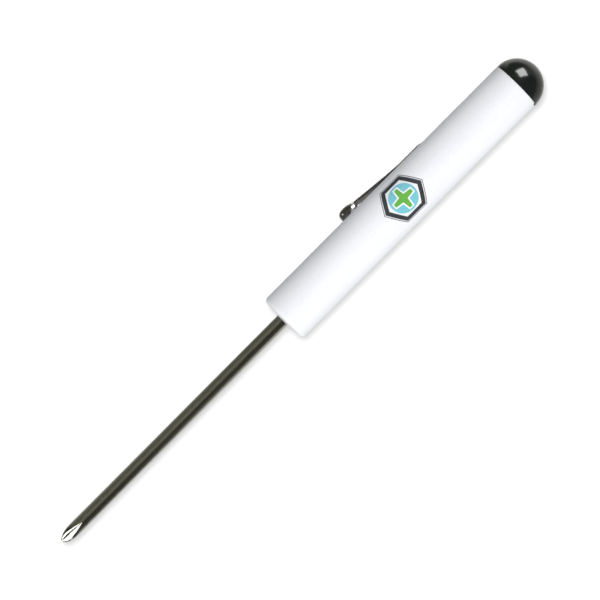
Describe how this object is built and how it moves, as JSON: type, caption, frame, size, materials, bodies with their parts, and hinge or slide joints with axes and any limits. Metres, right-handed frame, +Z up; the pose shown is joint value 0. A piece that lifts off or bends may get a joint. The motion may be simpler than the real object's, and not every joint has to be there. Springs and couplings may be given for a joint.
{
  "type": "pocket screwdriver",
  "caption": "Slim pocket screwdriver: round moulded barrel, domed button top, sprung ball-ended pocket clip and a thin round blade that pulls out and reverses.",
  "frame": {"origin": "centre of the flat end of the Phillips tip, on the blade's axis", "axes": "+X runs along the blade from the tip to the button top; +Z is up with the tool lying on its side, on its barrel and the clip's ball; +Y is the side that the clip is on"},
  "size_m": [0.1524, 0.0143, 0.0122],
  "materials": {
    "barrel": "white moulded plastic, satin gloss",
    "insert": "sintered steel, machined bore",
    "ring": "oiled spring wire",
    "button": "black moulded plastic, polished",
    "clip": "dark nickel-plated spring steel",
    "rivet": "nickel-plated",
    "blade": "nickel-plated steel, bright ground tip",
    "print": "pad-printed ink"
  },
  "bodies": {
    "handle": {"barrel": "barrel", "drive_insert": "insert", "retaining_ring": "ring", "button_top": "button", "clip_root": "clip", "clip_rivet": "rivet"},
    "clip": {"clip_arm": "clip"},
    "blade": {"blade": "blade"}
  },
  "joints": [
    {"name": "blade_slide", "type": "slide", "parent": "handle", "child": "blade", "axis": [-1, 0, 0], "range_m": [0, 0.08]},
    {"name": "clip_flex", "type": "hinge", "parent": "handle", "child": "clip", "pos_m": [0.1147, 0.00507, -0.00348], "axis": [0, -0.5652, -0.8249], "range_deg": [0, 8], "stiffness_Nm_per_rad": 0.3}
  ]
}
